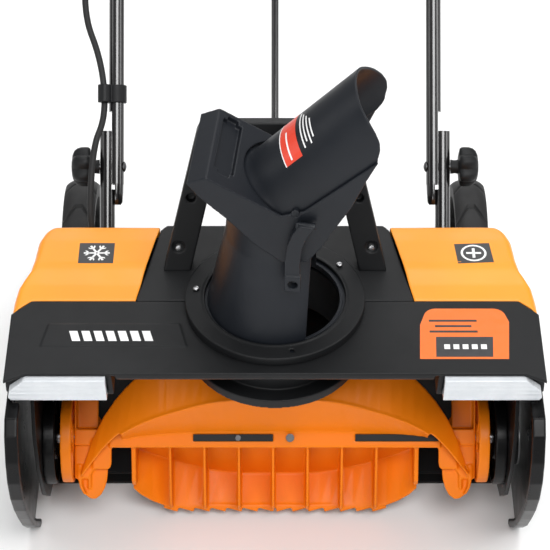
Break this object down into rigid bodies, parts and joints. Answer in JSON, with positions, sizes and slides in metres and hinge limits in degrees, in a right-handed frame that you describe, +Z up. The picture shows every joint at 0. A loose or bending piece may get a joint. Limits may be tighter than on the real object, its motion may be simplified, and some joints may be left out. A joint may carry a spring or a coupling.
{
  "type": "single stage snowblower",
  "caption": "Walk-behind single stage snow thrower with an open paddle rotor, a turning discharge chute with a tilting deflector, work lights and a folding handle.",
  "frame": {"origin": "on the ground under the middle of the bounding box", "axes": "+X to the machine's left as its operator faces forward, +Y towards the operator, +Z up"},
  "size_m": [0.554, 1.0426, 0.9876],
  "materials": {
    "orange_plastic": "satin",
    "black_plastic": "fine grain",
    "chute_plastic": "satin",
    "black_tube": "gloss powder coat",
    "bright_steel": "zinc plated",
    "lens_plastic": "clear ribbed",
    "dark_rubber": "matte",
    "red_plastic": "gloss",
    "motor_metal": "satin"
  },
  "bodies": {
    "frame": {"rotor_housing": "black_plastic", "bearing_walls": "black_plastic", "side_plate_left": "black_plastic", "side_plate_right": "black_plastic", "scraper_bar": "dark_rubber", "front_cover": "black_plastic", "centre_cover": "black_plastic", "shroud_left": "orange_plastic", "shroud_right": "orange_plastic", "chute_neck": "black_plastic", "chute_clamp_ring": "black_plastic", "cover_screws": "bright_steel", "crank_gearbox": "black_plastic", "carry_bracket": "black_plastic", "light_bezels": "black_plastic", "light_lenses": "lens_plastic", "rotor_bearings": "black_plastic", "chassis_tub": "black_plastic", "side_arm_left": "black_plastic", "side_arm_right": "black_plastic", "wheel_axle": "bright_steel", "hub_caps": "black_plastic", "motor": "motor_metal", "belt_cover": "black_plastic", "drive_belt": "dark_rubber", "lower_tubes": "black_tube", "fold_bolts": "bright_steel", "cable_lower": "dark_rubber"},
    "rotor": {"rotor_shaft": "bright_steel", "rotor_paddles": "orange_plastic", "rotor_end_discs": "orange_plastic", "rotor_strips": "black_plastic", "rotor_screws": "bright_steel", "rotor_pulley": "bright_steel"},
    "motor_drive": {"motor_shaft": "bright_steel", "motor_pulley": "bright_steel"},
    "wheel_l": {"wheel_left": "black_plastic"},
    "wheel_r": {"wheel_right": "black_plastic"},
    "chute": {"chute_tube": "chute_plastic", "chute_hood": "chute_plastic", "spout_pins": "bright_steel"},
    "latch": {"chute_latch": "chute_plastic"},
    "deflector": {"spout": "chute_plastic"},
    "crank": {"crank_rod": "black_tube", "crank_pinion": "black_plastic", "crank_arm": "black_plastic", "crank_grip": "dark_rubber"},
    "handle": {"upper_handle": "black_tube", "handle_grip": "dark_rubber", "switch_box": "black_plastic", "mains_inlet": "black_plastic", "bail_pivots": "black_plastic", "crank_rest": "black_plastic", "cable_clip": "black_plastic", "cable_upper": "dark_rubber"},
    "start_button": {"lock_button": "red_plastic"},
    "bail": {"bail_lever": "black_tube"},
    "clamp_knob_l": {"knob_left": "black_plastic"},
    "clamp_knob_r": {"knob_right": "black_plastic"}
  },
  "joints": [
    {"name": "rotor_spin", "type": "hinge", "parent": "frame", "child": "rotor", "pos_m": [0, -0.3763, 0.115], "axis": [1, 0, 0], "continuous": true},
    {"name": "motor_spin", "type": "hinge", "parent": "frame", "child": "motor_drive", "pos_m": [0, -0.1623, 0.152], "axis": [1, 0, 0], "continuous": true},
    {"name": "wheel_left_roll", "type": "hinge", "parent": "frame", "child": "wheel_l", "pos_m": [-0.232, -0.0573, 0.095], "axis": [1, 0, 0], "continuous": true},
    {"name": "wheel_right_roll", "type": "hinge", "parent": "frame", "child": "wheel_r", "pos_m": [0.232, -0.0573, 0.095], "axis": [1, 0, 0], "continuous": true},
    {"name": "chute_turn", "type": "hinge", "parent": "frame", "child": "chute", "pos_m": [0, -0.3583, 0.3034], "axis": [0, 0, 1], "range_deg": [-168, 6]},
    {"name": "deflector_tilt", "type": "hinge", "parent": "chute", "child": "deflector", "pos_m": [0.02586, -0.36102, 0.474], "axis": [0.1045, 0.9945, 0], "range_deg": [0, 22]},
    {"name": "latch_pull", "type": "hinge", "parent": "chute", "child": "latch", "pos_m": [0.03025, -0.42442, 0.465], "axis": [-0.9945, 0.1045, 0], "range_deg": [0, 8], "stiffness_Nm_per_rad": 0.1, "springref_deg": -5.73},
    {"name": "crank_turn", "type": "hinge", "parent": "frame", "child": "crank", "pos_m": [0, -0.2573, 0.318], "axis": [0, 0.7727, 0.6347], "range_deg": [-60, 1700]},
    {"name": "handle_fold", "type": "hinge", "parent": "frame", "child": "handle", "pos_m": [0, -0.1323, 0.3], "axis": [-1, 0, 0], "range_deg": [0, 48], "deforming": ["cable_lower"]},
    {"name": "bail_squeeze", "type": "hinge", "parent": "handle", "child": "bail", "pos_m": [0, 0.44149, 0.89418], "axis": [-1, 0, 0], "range_deg": [0, 11], "stiffness_Nm_per_rad": 0.3, "springref_deg": -17.19},
    {"name": "button_press", "type": "slide", "parent": "handle", "child": "start_button", "axis": [0, 0.7193, -0.6947], "range_m": [0, 0.002], "stiffness_N_per_m": 200, "springref_m": -0.002},
    {"name": "knob_left_turn", "type": "hinge", "parent": "frame", "child": "clamp_knob_l", "pos_m": [-0.21, -0.1323, 0.3], "axis": [-1, 0, 0], "range_deg": [0, 720]},
    {"name": "knob_right_turn", "type": "hinge", "parent": "frame", "child": "clamp_knob_r", "pos_m": [0.21, -0.1323, 0.3], "axis": [1, 0, 0], "range_deg": [0, 720]}
  ],
  "couplings": [
    {"joint": "motor_spin", "follows": "rotor_spin", "ratio": 2.37},
    {"joint": "crank_turn", "follows": "chute_turn", "ratio": -8}
  ]
}
